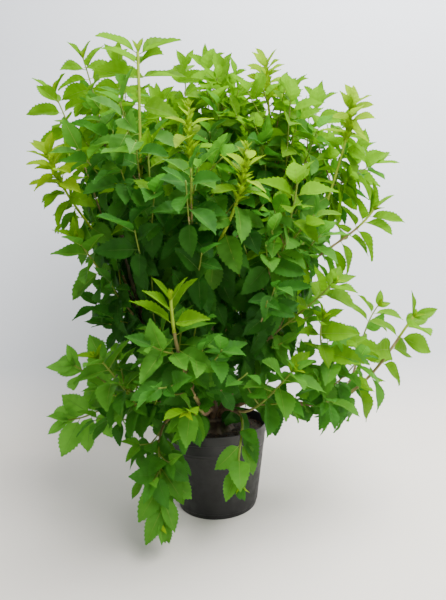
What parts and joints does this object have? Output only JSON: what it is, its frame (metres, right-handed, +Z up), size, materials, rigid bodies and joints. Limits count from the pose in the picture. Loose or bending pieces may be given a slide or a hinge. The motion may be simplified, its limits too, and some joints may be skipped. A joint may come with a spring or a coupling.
{
  "type": "potted panicle hydrangea shrub",
  "caption": "Bushy leafy shrub with upright and arching shoots in a tapered black nursery pot, out of flower",
  "frame": {"origin": "middle of the pot's flat underside", "axes": "+Z up the plant; -Y is the front, where two shoots spill over the pot's rim; +X is the side of the long arching shoot"},
  "size_m": [0.8236, 0.7777, 1.052],
  "materials": {
    "pot_plastic": "matte charcoal black moulded plastic, slightly scuffed",
    "compost": "damp dark brown potting compost, crumbly",
    "stool_bark": "rough grey-brown bark",
    "cane_bark": "tan brown bark with fine cracks",
    "leaf_green": "mid to dark green leaves, soft sheen",
    "leaf_lime": "fresh lime green young leaves, soft sheen"
  },
  "bodies": {
    "root": {"cane_arch": "cane_bark", "cane_back": "cane_bark", "cane_front": "cane_bark", "cane_front_low": "cane_bark", "cane_front_right": "cane_bark", "cane_left": "cane_bark", "cane_left_back": "cane_bark", "cane_left_front": "cane_bark", "cane_left_low": "cane_bark", "cane_middle": "cane_bark", "cane_right": "cane_bark", "cane_right_back": "cane_bark", "cane_spill_left": "cane_bark", "cane_spill_right": "cane_bark", "compost": "compost", "leaves_back": "leaf_green", "leaves_back_left": "leaf_green", "leaves_back_low": "leaf_green", "leaves_back_right": "leaf_green", "leaves_back_top_left": "leaf_lime", "leaves_back_top_right": "leaf_lime", "leaves_front_left_skirt": "leaf_green", "leaves_front_left_top": "leaf_lime", "leaves_front_low": "leaf_green", "leaves_front_right_low": "leaf_green", "leaves_front_right_skirt": "leaf_green", "leaves_front_right_top": "leaf_lime", "leaves_front_skirt": "leaf_green", "leaves_front_top": "leaf_lime", "leaves_left_foot": "leaf_green", "leaves_left_low": "leaf_green", "leaves_left_middle": "leaf_green", "leaves_left_outer": "leaf_lime", "leaves_left_top": "leaf_lime", "leaves_right_arch": "leaf_lime", "leaves_right_low": "leaf_green", "leaves_right_middle": "leaf_green", "leaves_right_outer": "leaf_lime", "leaves_right_top": "leaf_lime", "leaves_spill_left": "leaf_green", "leaves_spill_right": "leaf_green", "leaves_top": "leaf_lime", "leaves_top_right": "leaf_lime", "pot": "pot_plastic", "stool": "stool_bark"}
  },
  "joints": []
}
